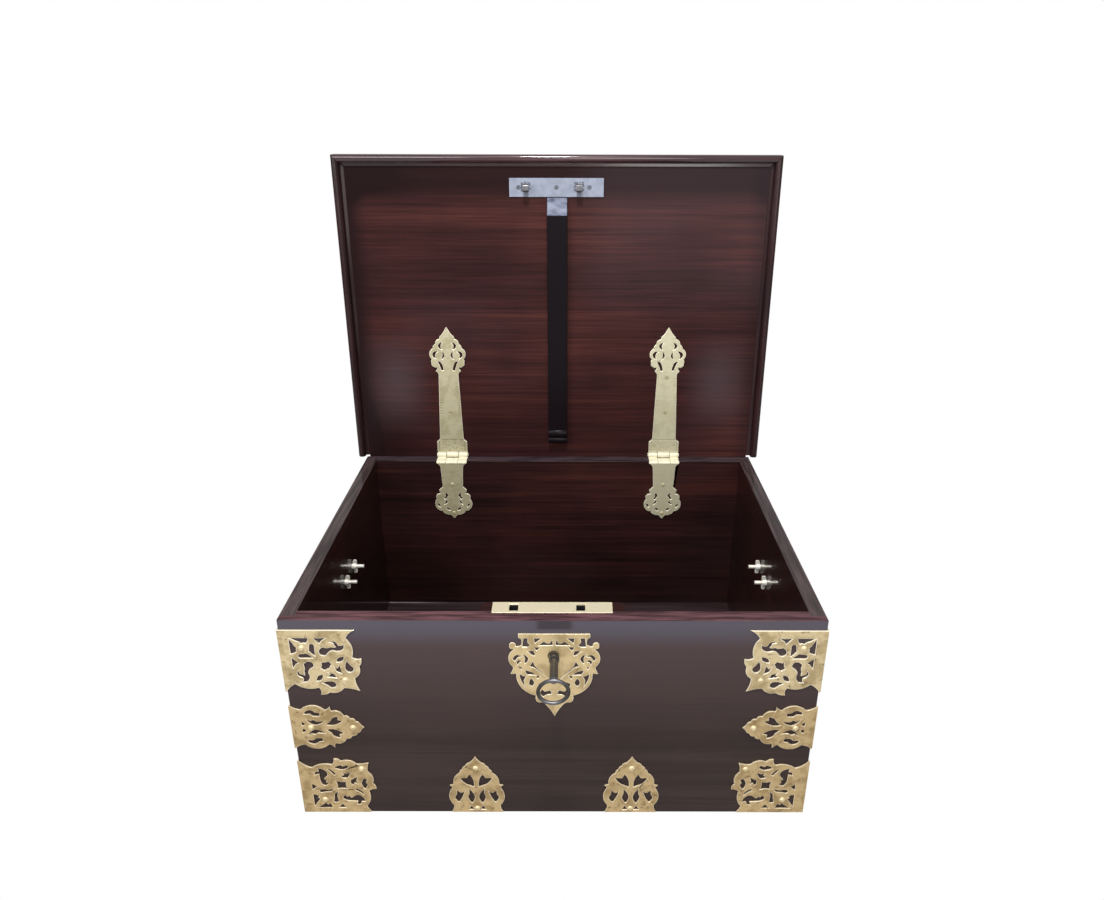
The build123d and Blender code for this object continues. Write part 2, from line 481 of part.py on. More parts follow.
def lock_block():
    """Block glued behind the front board, hollowed from its front face for the lock's case."""
    low = HEIGHT - LOCK_BLOCK_H
    half = LOCK_BLOCK_W / 2
    body = block(-half, half, INNER_FRONT, PLATE_BACK, low, HEIGHT)
    ends = [edge for edge in body.edges().filter_by(Axis.Y) if edge.center().Z < low + 1]
    body = fillet(ends, LOCK_BLOCK_H / 5)
    body = chamfer(body.faces().sort_by(Axis.Z)[0].edges().sort_by(Axis.Y)[-1], LOCK_BLOCK_T / 3)
    room = CASE_W / 2 + CASE_FIT
    body -= block(LOCK_X - room, LOCK_X + room, INNER_FRONT, CASE_Y[1] + CASE_FIT,
                  CASE_TOP - CASE_H - CASE_FIT, HEIGHT)
    return body - plate_step()


def selvedge_plate():
    """Plate let into the rim over the lock, with a square hole for each staple."""
    plate = plate_step()
    for x in STAPLE_X:
        plate -= Pos(x, STAPLE_Y, CASE_TOP + PLATE_T / 2) * Box(
            STAPLE_W + 2 * STAPLE_PLAY_X, STAPLE_D + 2 * STAPLE_PLAY_Y, 2 * PLATE_T)
    return plate


def lock_case():
    """Sheet case hung under the selvedge plate: front, back, ends and floor."""
    half = CASE_W / 2
    low = CASE_TOP - CASE_H
    outer = block(LOCK_X - half, LOCK_X + half, CASE_Y[0], CASE_Y[1], low, CASE_TOP)
    inner = block(LOCK_X - half + CASE_WALL, LOCK_X + half - CASE_WALL, CASE_Y[0] + CASE_WALL,
                  CASE_Y[1] - CASE_WALL, low + CASE_WALL, CASE_TOP)
    return outer - inner - keyhole(CASE_Y[0] - 1, CASE_Y[0] + CASE_WALL, KEY_PLAY)


def lock_pin():
    """Pin on the case's back that the pipe of the key turns on."""
    return rod(KEY_X, CASE_Y[1] - CASE_WALL, KEY_Z, LOCK_PIN_R, -(KEY_BIT_L + 1.5), "Y")


def lock_spring():
    """Bowed spring hung from the plate, which holds the bolt down."""
    top = BOLT_Z + BOLT_BAR_H + CASE_FIT
    rise = CASE_TOP - top
    radius = ((SPRING_SPAN / 2) ** 2 + rise**2) / (2 * rise)
    x = (STAPLE_X[0] + STAPLE_X[1]) / 2 - 8.5
    ring = rod(x, STAPLE_Y - SPRING_W / 2, top + radius, radius, SPRING_W, "Y")
    ring -= rod(x, STAPLE_Y - SPRING_W / 2, top + radius, radius - SPRING_T, SPRING_W, "Y")
    return ring - block(x - 2 * radius, x + 2 * radius, STAPLE_Y - SPRING_W, STAPLE_Y + SPRING_W,
                        CASE_TOP, CASE_TOP + 2 * radius)


def lock_bolt():
    """Sliding bolt: a bar with a talon for the key, and an arm and prong for each staple."""
    y0, y1 = STAPLE_Y - BOLT_T / 2, STAPLE_Y + BOLT_T / 2
    tips = [x - STAPLE_W / 2 - STAPLE_PLAY_X - KEY_PLAY for x in STAPLE_X]
    roots = [tip - BOLT_THROW - KEY_PLAY for tip in tips]
    top = PRONG_Z + PRONG / 2
    bolt = block(roots[0] - BOLT_ARM, roots[1], y0, y1, BOLT_Z, BOLT_Z + BOLT_BAR_H)
    for tip, root in zip(tips, roots):
        bolt += block(root - BOLT_ARM, root, STAPLE_Y - PRONG / 2, STAPLE_Y + PRONG / 2, BOLT_Z, top)
        bolt += block(root, tip, STAPLE_Y - PRONG / 2, STAPLE_Y + PRONG / 2, top - PRONG, top)
    talon_back = KEY_BIT_R + KEY_PLAY
    talon_ahead = KEY_BIT_T / 2 + 2 * KEY_PLAY
    return bolt - block(KEY_X - talon_back, KEY_X + talon_ahead, y0, y1, BOLT_Z,
                        KEY_Z + KEY_BIT_R + KEY_PLAY)


def key():
    """Pipe key lying in the lock with its bit level, as it stands when the bolt is drawn."""
    tip = CASE_Y[1] - CASE_WALL - KEY_PLAY
    shank_end = FRONT_Y - KEY_OUT
    shank = rod(KEY_X, shank_end, KEY_Z, KEY_R, tip - shank_end, "Y")
    shank += block(KEY_X - KEY_BIT_R, KEY_X, tip - KEY_BIT_L - 2, tip - 2, KEY_Z - KEY_BIT_T / 2,
                   KEY_Z + KEY_BIT_T / 2)
    shank += rod(KEY_X, FRONT_Y - MOUNT_T - 8, KEY_Z, KEY_R + 1.3, 4, "Y")
    pipe = LOCK_PIN_R + LOCK_PIN_FIT
    shank -= rod(KEY_X, tip, KEY_Z, pipe, -(KEY_BIT_L + 2), "Y")
    centre_y = shank_end + BOW_R - BOW_L / 2
    path = Pos(KEY_X, centre_y, KEY_Z) * Ellipse(BOW_W / 2 - BOW_R, BOW_L / 2 - BOW_R).edge()
    start = path @ 0
    bow = sweep(Plane(origin=start, z_dir=path % 0) * Circle(BOW_R), path=path)
    return shank + bow


def chest_leaf(x):
    """Hinge leaf let into the rim, bent down the inside of the back board, with two knuckles."""
    half = HINGE_W / 2
    front = INNER_BACK - HINGE_T
    edge = PIN_Y - KNUCKLE_CLEAR
    top = block(x - half, x + half, front, edge, HEIGHT - HINGE_T, HEIGHT)
    down = Plane(origin=(x, INNER_BACK, HEIGHT), x_dir=(-1, 0, 0), z_dir=(0, -1, 0))
    leaf = top + down * pierced_strap(CHEST_STRAP, CHEST_STRAP_HOLES, CHEST_STRAP_SCALE, 0)
    outer = leaf.edges().filter_by(Axis.X).filter_by(
        lambda e: abs(e.center().Y - front) < 0.01 and abs(e.center().Z - HEIGHT) < 0.01)
    leaf = fillet(outer, min(BEND_R, HINGE_T + KNUCKLE_R / 4))
    gap = KNUCKLE_MID / 2
    for x0, x1 in ((x - half, x - gap), (x + gap, x + half)):
        leaf += block(x0, x1, edge, PIN_Y, HEIGHT - HINGE_T, HEIGHT)
        leaf += rod(x0, PIN_Y, PIN_Z, KNUCKLE_R, x1 - x0, "X")
    leaf -= rod(x - half - 1, PIN_Y, PIN_Z, PIN_R + NAIL_FIT, HINGE_W + 2, "X")
    return leaf - [screw_hole(*place) for place in chest_screws()]


def pierced_strap(half, holes, scale, start):
    """Strap with pierced end; its straight sides start at v = start."""
    head = [(half[0][0], start, 0)] + list(half)
    head = [(u, v, rise) for u, v, rise in head]
    return pierced(head, holes, left_right, scale, HINGE_T)


def lid_leaf(x):
    """Hinge leaf on the lid's underside, with the middle knuckle, as it lies when shut."""
    along = Plane(origin=(x, PIN_Y, UNDER_Z), x_dir=(1, 0, 0), z_dir=(0, 0, -1))
    start = KNUCKLE_CLEAR / LID_STRAP_SCALE
    leaf = along * pierced_strap(LID_STRAP, LID_STRAP_HOLES, LID_STRAP_SCALE, start)
    half = KNUCKLE_MID / 2 - KNUCKLE_GAP
    leaf += block(x - half, x + half, PIN_Y - KNUCKLE_CLEAR, PIN_Y, UNDER_Z - HINGE_T, UNDER_Z)
    leaf += rod(x - half, PIN_Y, PIN_Z, KNUCKLE_R, 2 * half, "X")
    leaf -= rod(x - half - 1, PIN_Y, PIN_Z, PIN_R + NAIL_FIT, 2 * half + 2, "X")
    return leaf - [sunk_hole(*place) for place in lid_screws()]


def hinge_pin(x):
    half = HINGE_W / 2
    pin = rod(x - half, PIN_Y, PIN_Z, PIN_R, HINGE_W, "X")
    pin += rod(x - half - PIN_HEAD_T, PIN_Y, PIN_Z, PIN_HEAD_R, PIN_HEAD_T, "X")
    return pin + rod(x + half, PIN_Y, PIN_Z, PIN_HEAD_R, PIN_HEAD_T, "X")


def rail_profile():
    """Lid moulding's section: (out from the lid board, up from the lid's underside)."""
    mid = LID_T / 2
    low, high = mid - RAIL_TONGUE_T / 2, mid + RAIL_TONGUE_T / 2
    r = BEAD / 2
    corner = EDGE_R * (1 - cos(radians(45)))
    edges = [
        Line((0, BAND_STEP), (BAND, BAND_STEP)),
        Line((BAND, BAND_STEP), (BAND, r - BEAD_DROP)),
        ThreePointArc((BAND, r - BEAD_DROP), (BAND + r, -BEAD_DROP), (RAIL_W, r - BEAD_DROP)),
        Line((RAIL_W, r - BEAD_DROP), (RAIL_W, LID_T - EDGE_R)),
        ThreePointArc((RAIL_W, LID_T - EDGE_R), (RAIL_W - corner, LID_T - corner), (RAIL_W - EDGE_R, LID_T)),
        Line((RAIL_W - EDGE_R, LID_T), (0, LID_T)),
        Line((0, LID_T), (0, high)),
        Line((0, high), (-RAIL_TONGUE, high)),
        Line((-RAIL_TONGUE, high), (-RAIL_TONGUE, low)),
        Line((-RAIL_TONGUE, low), (0, low)),
        Line((0, low), (0, BAND_STEP)),
    ]
    return make_face(edges)


def mitred(x_out, y_out, x_end, y_end):
    """Plan of a moulding: outer edge from one point to the other, cut at 45 degrees at the front."""
    reach = RAIL_W + RAIL_TONGUE
    if y_out == y_end:
        return [(x_out, y_out), (x_end, y_out), (x_end - reach, y_out + reach),
                (x_out + reach, y_out + reach)]
    return [(x_out, y_out), (x_out, y_end), (x_out + reach, y_end), (x_out + reach, y_out + reach)]


def prism(points, z0, z1):
    return Pos(0, 0, z0) * extrude(make_face(Polyline(*points, close=True)), z1 - z0)


def front_rail():
    side = SIDE_X + SIDE_OVERHANG
    end = Plane(origin=(side, PANEL_FRONT, UNDER_Z), x_dir=(0, -1, 0), z_dir=(-1, 0, 0))
    bar = end * extrude(rail_profile(), 2 * side)
    plan = mitred(-side, LID_FRONT, side, LID_FRONT)
    return bar & prism(plan, UNDER_Z - BEAD_DROP - 1, UNDER_Z + LID_T + 1)


def side_rail():
    """Left side moulding; it ends at the hinge pins."""
    side = SIDE_X + SIDE_OVERHANG
    end = PIN_Y + RAIL_END
    section = Plane(origin=(-PANEL_X, LID_FRONT, UNDER_Z), x_dir=(-1, 0, 0), z_dir=(0, 1, 0))
    bar = section * extrude(rail_profile(), end - LID_FRONT)
    plan = mitred(-side, LID_FRONT, -side, end)
    return bar & prism(plan, UNDER_Z - BEAD_DROP - 1, UNDER_Z + LID_T + 1)


def lid_panel():
    """Lid board: grooved on three edges for the mouldings and hollowed for the hinges."""
    panel = block(-PANEL_X, PANEL_X, PANEL_FRONT, PANEL_BACK, UNDER_Z, UNDER_Z + LID_T)
    depth = RAIL_TONGUE + CASE_FIT
    low = UNDER_Z + (LID_T - RAIL_TONGUE_T) / 2
    high = low + RAIL_TONGUE_T
    end = PIN_Y + RAIL_END
    panel -= block(-PANEL_X, PANEL_X, PANEL_FRONT, PANEL_FRONT + depth, low, high)
    for side in (-1, 1):
        x0, x1 = sorted((side * PANEL_X, side * (PANEL_X - depth)))
        panel -= block(x0, x1, PANEL_FRONT, end, low, high)
    rear = panel.edges().filter_by(Axis.X).filter_by(
        lambda e: e.center().Y > PANEL_BACK - 0.1 and e.center().Z > UNDER_Z + 1)
    panel = fillet(rear, EDGE_R)
    panel -= [barrel_room(x) for x in hinge_spots()]
    holes = [screw_hole(*place) for place in lid_screws() + hasp_screws()]
    return panel - holes


def lid_batten():
    """Batten down the middle of the lid, moulded at its foot and ramped at its head."""
    quirk = (BATTEN_START + BATTEN_FOOT * 0.4, BATTEN_T - 1)
    top = (BATTEN_START + BATTEN_FOOT, BATTEN_T)
    run = [
        Line((BATTEN_START, 0), (BATTEN_START, BATTEN_T - 1)),
        ThreePointArc((BATTEN_START, BATTEN_T - 1), (BATTEN_START + BATTEN_FOOT * 0.2, BATTEN_T + 1), quirk),
        ThreePointArc(quirk, (BATTEN_START + BATTEN_FOOT * 0.68, BATTEN_T + BATTEN_ROLL), top),
        Line(top, (BATTEN_END - BATTEN_RAMP, BATTEN_T)),
        Line((BATTEN_END - BATTEN_RAMP, BATTEN_T), (BATTEN_END, BATTEN_TIP)),
        Line((BATTEN_END, BATTEN_TIP), (BATTEN_END, 0)),
        Line((BATTEN_END, 0), (BATTEN_START, 0)),
    ]
    side = Plane(origin=(-BATTEN_W / 2, PIN_Y, UNDER_Z), x_dir=(0, -1, 0), z_dir=(1, 0, 0))
    return side * extrude(make_face(run), BATTEN_W)


def hasp_plate():
    half = HASP_W / 2
    plate = block(LOCK_X - half, LOCK_X + half, STAPLE_Y - HASP_D / 2, STAPLE_Y + HASP_D / 2,
                  UNDER_Z - HASP_T, UNDER_Z)
    return plate - [sunk_hole(*place) for place in hasp_screws()]


def staples():
    """Two eyed staples on the hasp plate; the bolt's prongs go through their eyes."""
    made = []
    top = UNDER_Z - HASP_T
    for x in STAPLE_X:
        one = block(x - STAPLE_W / 2, x + STAPLE_W / 2, STAPLE_Y - STAPLE_D / 2, STAPLE_Y + STAPLE_D / 2,
                    top - STAPLE_H, top)
        low = [edge for edge in one.edges().filter_by(Axis.X) if edge.center().Z < top - STAPLE_H + 0.1]
        one = fillet(low, STAPLE_D / 4)
        made.append(one - Pos(x, STAPLE_Y, PRONG_Z) * Box(2 * STAPLE_W, STAPLE_EYE, STAPLE_EYE))
    return made


def stud_spots():
    return (-HANDLE_STUDS / 2, HANDLE_STUDS / 2)


def eye_bolt(y):
    """Left handle's stud: eye outside for the bail, thread inside for a wing nut."""
    out = -SIDE_X - MOUNT_T
    eye = rod(out, y, HANDLE_Z, EYE_R, -EYE_OUT, "X")
    eye = fillet(eye.faces().sort_by(Axis.X)[0].edges(), EYE_R / 3)
    stud = rod(out, y, HANDLE_Z, STUD_R, MOUNT_T + WALL + STUD_INSIDE, "X")
    return eye + stud - rod(-HANDLE_X, y - EYE_R - 1, HANDLE_Z, BAIL_PIN_R + BAIL_FIT, 2 * EYE_R + 2, "Y")


def wing_nut(y):
    hub = rod(-INNER_X, y, HANDLE_Z, NUT_R, NUT_L, "X")
    wings = Pos(-INNER_X + NUT_L / 2 + WING_T / 2, y, HANDLE_Z) * Box(WING_H, WING_T, WING_W)
    wings = fillet(wings.edges().filter_by(Axis.Y), WING_H / 3)
    return hub + wings - rod(-INNER_X - 1, y, HANDLE_Z, STUD_R + STUD_FIT, NUT_L + WING_H + 2, "X")


def backplate():
    """Left handle's backplate, with rounded ends."""
    plate = block(-SIDE_X - MOUNT_T, -SIDE_X, -BACKPLATE_W / 2, BACKPLATE_W / 2,
                  HANDLE_Z - BACKPLATE_H / 2, HANDLE_Z + BACKPLATE_H / 2)
    plate = fillet(plate.edges().filter_by(Axis.X), BACKPLATE_H * 0.45)
    return plate - [rod(-SIDE_X - MOUNT_T - 1, y, HANDLE_Z, STUD_R + STUD_FIT, MOUNT_T + 2, "X")
                    for y in stud_spots()]


def handle_bail():
    """Left bail hanging from its two eyes, with a pin at each end."""
    inner = HANDLE_STUDS / 2 + EYE_R + BAIL_SIDE_GAP
    half = BAIL_W / 2
    shoulder = half - inner
    points = [(inner, 0), (inner + shoulder * 0.4, 0), (half, -BAIL_DROP * 0.5), (half, -BAIL_DROP),
              (-half, -BAIL_DROP), (-half, -BAIL_DROP * 0.5), (-inner - shoulder * 0.4, 0), (-inner, 0)]
    path = FilletPolyline(*[(-HANDLE_X, y, HANDLE_Z + z) for y, z in points],
                          radius=BAIL_R * 1.6)
    start = path @ 0
    bail = sweep(Plane(origin=start, z_dir=path % 0) * Circle(BAIL_R), path=path)
    reach = 2 * EYE_R + BAIL_SIDE_GAP
    for side in (-1, 1):
        bail += rod(-HANDLE_X, side * (inner + 1), HANDLE_Z, BAIL_PIN_R, -side * (reach + 1), "Y")
    return bail


def opened(pieces):
    """Turns pieces of the shut lid about the hinge pins to where they rest when it is open."""
    hinge = Axis((0, PIN_Y, PIN_Z), (1, 0, 0))
    if isinstance(pieces, list):
        return [one.rotate(hinge, -LID_OPEN) for one in pieces]
    return pieces.rotate(hinge, -LID_OPEN)


def right_of(shape):
    """The right-hand twin of a left-hand piece."""
    return mirror(shape, about=Plane.YZ)


def write(name, shape):
    if isinstance(shape, list):
        shape = Compound(children=[solid for one in shape for solid in one.solids()])
    export_step(shape, f"parts/{name}.step")


upper = drill(corner_mount(UPPER_MOUNT, UPPER_HOLES, UPPER_CENTRE, UPPER_SCALE, UPPER_MOUNT_Z, -1),
              CORNER_SPOTS)
lower = drill(corner_mount(LOWER_MOUNT, LOWER_HOLES, LOWER_CENTRE, LOWER_SCALE, MOUNT_FLOOR_GAP, 1,
                           LOWER_MOUNT_TRIM), CORNER_SPOTS)
middle = drill(side_mount(), CORNER_SPOTS)
foot = pierced(FOOT_MOUNT, FOOT_HOLES, left_right, FOOT_SCALE, MOUNT_T)
feet = [on_front(side * FOOT_MOUNT_X, MOUNT_FLOOR_GAP) * foot - [nail_hole(x, z) for x, z in FOOT_SPOTS]
        for side in (-1, 1)]
shield = on_front(KEY_X, HEIGHT - ESCUTCHEON_DOWN) * pierced(
    ESCUTCHEON, ESCUTCHEON_HOLES, left_right, ESCUTCHEON_SCALE, MOUNT_T)
shield -= keyhole(FRONT_Y - MOUNT_T - 1, FRONT_Y + 1, KEY_PLAY)
corner_nails = both_ends(with_twins([nail(x, z) for x, z in CORNER_SPOTS]))
left_side = side_board()
bolts = [eye_bolt(y) for y in stud_spots()]
nuts = [wing_nut(y) for y in stud_spots()]

write("front_board", front_board())
write("back_board", back_board())
write("left_side_board", left_side)
write("right_side_board", right_of(left_side))
write("bottom_board", bottom_board())
write("lock_block", lock_block())
write("upper_left_corner_mount", upper)
write("upper_right_corner_mount", right_of(upper))
write("lower_left_corner_mount", lower)
write("lower_right_corner_mount", right_of(lower))
write("left_edge_mount", middle)
write("right_edge_mount", right_of(middle))
write("left_foot_mount", feet[0])
write("right_foot_mount", feet[1])
write("escutcheon", shield)
write("mount_nails", corner_nails + [nail(x, z) for x, z in FOOT_SPOTS])
write("selvedge_plate", selvedge_plate())
write("lock_case", lock_case())
write("lock_pin", lock_pin())
write("lock_spring", lock_spring())
write("lock_bolt", lock_bolt())
write("key", key())
for name, x in (("left", -HINGE_X), ("right", HINGE_X)):
    write(f"{name}_hinge_chest_leaf", chest_leaf(x))
    write(f"{name}_hinge_pin", hinge_pin(x))
    write(f"{name}_hinge_lid_leaf", opened(lid_leaf(x)))
write("chest_hinge_screws", [screw(*place) for place in chest_screws()])
write("lid_hinge_screws", opened([sunk_screw(*place) for place in lid_screws()]))
write("lid_board", opened(lid_panel()))
write("lid_front_moulding", opened(front_rail()))
write("lid_left_moulding", opened(side_rail()))
write("lid_right_moulding", opened(right_of(side_rail())))
write("lid_batten", opened(lid_batten()))
write("hasp_plate", opened(hasp_plate()))
write("hasp_staples", opened(staples()))
write("hasp_screws", opened([sunk_screw(*place) for place in hasp_screws()]))
write("handle_studs", both_ends(bolts))
write("wing_nuts", both_ends(nuts))
write("left_handle_backplate", backplate())
write("right_handle_backplate", right_of(backplate()))
write("left_handle", handle_bail())
write("right_handle", right_of(handle_bail()))
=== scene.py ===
from math import cos, radians, sin

import bpy
from mathutils import Matrix, Vector

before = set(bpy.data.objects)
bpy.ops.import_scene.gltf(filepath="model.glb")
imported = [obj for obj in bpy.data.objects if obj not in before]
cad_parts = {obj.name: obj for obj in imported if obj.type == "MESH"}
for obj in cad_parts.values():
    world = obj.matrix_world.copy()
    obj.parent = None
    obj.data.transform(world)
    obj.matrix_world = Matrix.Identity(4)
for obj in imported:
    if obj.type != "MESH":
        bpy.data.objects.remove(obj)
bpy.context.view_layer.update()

# Camera, in metres and degrees.
CAMERA_AT = (0.0195, -1.0606, 0.9008)
CAMERA_TILT = 22.05
CAMERA_TURN = 0.081
CAMERA_ROLL = 0.14
SENSOR = 36.0
LENS = 26.42
SHIFT_X, SHIFT_Y = -0.0165, -0.0245

# Places on the chest that the finishes are laid out by, in metres. The open lid leans back by LID_LEAN
# for each metre that it rises.
PIN_HEIGHT = 0.313
LID_LEAN = 0.0227
HINGE_ASIDE = 0.185
RIM_HEIGHT = 0.310
KEY_ASIDE, KEY_HEIGHT = 0.0007, 0.2592
STAPLES_MIDDLE, STAPLE_ASIDE, STAPLE_HEIGHT = -0.00735, 0.04165, 0.768
BATTEN_RAMP_FROM = 0.725

CORNER_MOUNTS = ("upper_left_corner_mount", "upper_right_corner_mount",
                 "lower_left_corner_mount", "lower_right_corner_mount")
FRONT_MOUNTS = CORNER_MOUNTS + ("left_edge_mount", "right_edge_mount", "left_foot_mount",
                                "right_foot_mount", "escutcheon")
BOARDS = ("front_board", "back_board", "left_side_board", "right_side_board", "lid_board",
          "lid_front_moulding", "lid_left_moulding", "lid_right_moulding", "lid_batten", "selvedge_plate",
          "hasp_plate")
HINGE_LEAVES = ("left_hinge_chest_leaf", "right_hinge_chest_leaf",
                "left_hinge_lid_leaf", "right_hinge_lid_leaf")


class Value:
    """A shader socket that ordinary arithmetic can be written on."""

    def __init__(self, paint, socket):
        self.paint, self.socket = paint, socket

    def math(self, operation, *others):
        return self.paint.node("ShaderNodeMath", {"operation": operation}, [self, *others])

    def __add__(self, other):
        return self.math("ADD", other)

    def __sub__(self, other):
        return self.math("SUBTRACT", other)

    def __rsub__(self, other):
        return self.paint.node("ShaderNodeMath", {"operation": "SUBTRACT"}, [other, self])

    def __mul__(self, other):
        return self.math("MULTIPLY", other)

    __radd__ = __add__
    __rmul__ = __mul__

    def size(self):
        return self.math("ABSOLUTE")

    def most(self, other):
        return self.math("MAXIMUM", other)

    def clamped(self):
        return self.paint.node("ShaderNodeClamp", {}, [self])

    def between(self, low, high):
        """0 below low, 1 above high, smooth between them."""
        return self.paint.node("ShaderNodeMapRange", {"interpolation_type": "SMOOTHSTEP"}, [self, low, high])


class Paint:
    """A material whose nodes are made as they are named."""

    def __init__(self, name, **fixed):
        self.material = bpy.data.materials.new(name)
        self.material.use_nodes = True
        self.tree = self.material.node_tree
        self.shader = self.tree.nodes["Principled BSDF"]
        for socket, value in fixed.items():
            self.shader.inputs[socket.replace("_", " ")].default_value = value

    def node(self, kind, settings, inputs, output=0):
        made = self.tree.nodes.new(kind)
        for key, value in settings.items():
            if key == "stops":
                self.set_stops(made.color_ramp, value)
            else:
                setattr(made, key, value)
        pairs = inputs.items() if isinstance(inputs, dict) else enumerate(inputs)
        for key, value in pairs:
            if isinstance(value, Value):
                self.tree.links.new(value.socket, made.inputs[key])
            else:
                made.inputs[key].default_value = value
        return Value(self, made.outputs[output])

    def set_stops(self, ramp, stops):
        while len(ramp.elements) < len(stops):
            ramp.elements.new(0.5)
        for element, (place, colour) in zip(ramp.elements, stops):
            element.position = place
            element.color = (*colour, 1)

    def place(self, scale=(1, 1, 1), turn=(0, 0, 0), shift=(0, 0, 0)):
        where = self.node("ShaderNodeTexCoord", {}, {}, "Object")
        return self.node("ShaderNodeMapping", {}, {"Vector": where, "Location": shift, "Rotation": turn,
                                                    "Scale": scale})

    def noise(self, where, scale, detail=4, roughness=0.55, distortion=0.0):
        return self.node("ShaderNodeTexNoise", {}, {"Vector": where, "Scale": scale, "Detail": detail,
                                                     "Roughness": roughness, "Distortion": distortion})

    def ramp(self, factor, *stops):
        return self.node("ShaderNodeValToRGB", {"stops": stops}, [factor])

    def mix(self, factor, first, second, blend="MIX"):
        return self.node("ShaderNodeMix", {"data_type": "RGBA", "blend_type": blend},
                         {0: factor, 6: first, 7: second}, 2)

    def bump(self, height, strength, distance):
        return self.node("ShaderNodeBump", {}, {"Height": height, "Strength": strength, "Distance": distance})

    def part_of(self, vector, number):
        """One of the three coordinates of a place."""
        return self.node("ShaderNodeSeparateXYZ", {}, [vector], number)

    def coordinates(self):
        """Position in the drawn chest, in metres."""
        where = self.place()
        return [self.part_of(where, number) for number in range(3)]

    def within(self, value, middle, half, soft=0.0004):
        """1 where a value lies within half of the middle."""
        return 1 - (value - middle).size().between(half - soft, half + soft)

    def feed(self, **sockets):
        for socket, value in sockets.items():
            self.tree.links.new(value.socket, self.shader.inputs[socket.replace("_", " ")])
        return self.material


def long_grain(wood, along, across_scale, shift=(0, 0, 0), detail=4, slope=0.0):
    """Noise drawn out into long fibres along an axis."""
    stretch = {"X": (0.022, 1, 1), "Y": (1, 0.022, 1), "Z": (1, 1, 0.022)}[along]
    where = wood.place(scale=stretch, turn=(0, radians(slope), 0), shift=shift)
    return wood.noise(where, across_scale, detail=detail, roughness=0.62, distortion=0.35)


def underside(wood, y, z):
    """1 on the lid board's underside, 0 on its outer face."""
    return 1 - (y - (z - PIN_HEIGHT) * LID_LEAN).between(0.243, 0.248)


def lid_shadow(wood):
    """How much darker the lid's underside is along its mouldings, at its left and at its hinges."""
    x, y, z = wood.coordinates()
    edge = x.size().between(0.298, 0.331) * 0.5 + z.between(0.733, 0.770) * 0.85
    left = (1 - x.between(-0.36, -0.20)) * 0.5
    low = (1 - z.between(0.33, 0.46)) * (1 - x.between(0.15, 0.30)) * 0.55
    return (edge + left + low).clamped() * underside(wood, y, z)


def painted_lid_sheen(wood):
    """Painted sheen: a greyish painted reflection on the lid's underside, outside each strap hinge and at its
    upper right.
    """
    x, y, z = wood.coordinates()
    outside = wood.within(x.size(), 0.272, 0.035, 0.035) * wood.within(z, 0.445, 0.055, 0.05) * 0.38
    upper = x.between(0.0, 0.10) * z.between(0.52, 0.64) * 0.13
    return (outside + upper) * underside(wood, y, z)


def polished_rosewood(name, along, dark, mid, light, rim=None, lid=False, sheen=0.22, coat=0.0,
                      gloss=0.16, slope=0.0):
    """Close-grained rosewood under old polish, its grain along an axis.

    rim is the tone of its sawn upper edge, and lid adds painted shade and a painted sheen to the open lid's
    underside.
    """
    wood = Paint(name, Specular_IOR_Level=sheen, Coat_Weight=coat, Coat_Roughness=gloss)
    fine = long_grain(wood, along, 310, detail=5, slope=slope)
    lines = long_grain(wood, along, 95, shift=(2, 5, 3), slope=slope)
    broad = long_grain(wood, along, 22, shift=(4, 1, 6), detail=2, slope=slope)
    clouds = wood.noise(wood.place(shift=(1, 1, 1)), 4.5, detail=3, roughness=0.5)
    figure = fine * 0.26 + lines * 0.24 + broad * 0.22 + clouds * 0.28
    colour = wood.ramp(figure, (0.40, dark), (0.50, mid), (0.60, light))
    bloom = wood.noise(wood.place(scale=(0.5, 1, 1), shift=(5, 2, 8)), 7, detail=2).between(0.48, 0.68)
    colour = wood.mix(bloom * 0.3, colour, (mid[0] * 1.1, mid[1] * 1.7, mid[1] * 1.9, 1))
    veins = long_grain(wood, along, 60, shift=(7, 3, 9), detail=3, slope=slope).between(0.58, 0.66)
    colour = wood.mix(veins * 0.5, colour, (*dark, 1))
    if lid:
        colour = wood.mix(lid_shadow(wood), colour, (0.010, 0.0035, 0.0040, 1))
        # painted sheen: a greyish painted reflection on the lid's underside
        colour = wood.mix(painted_lid_sheen(wood), colour, (0.080, 0.062, 0.072, 1))
    if rim:
        sawn = wood.part_of(wood.place(), 2).between(RIM_HEIGHT - 0.0014, RIM_HEIGHT - 0.0007)
        colour = wood.mix(sawn, colour, sawn_edge(wood, along, rim))
    return wood.feed(Base_Color=colour, Roughness=fine * 0.2 + 0.30, Normal=wood.bump(fine, 0.06, 0.0004))


def sawn_edge(wood, along, tone):
    """Grain of a board's upper edge, running off it at a slant."""
    turn = {"X": (0, 0, radians(9)), "Y": (0, 0, radians(-4))}[along]
    stretch = {"X": (0.07, 1, 1), "Y": (1, 0.05, 1)}[along]
    grain = wood.noise(wood.place(scale=stretch, turn=turn), 190, detail=3, roughness=0.6)
    return wood.ramp(grain, (0.42, tuple(0.5 * c for c in tone)), (0.60, tuple(1.4 * c for c in tone)))


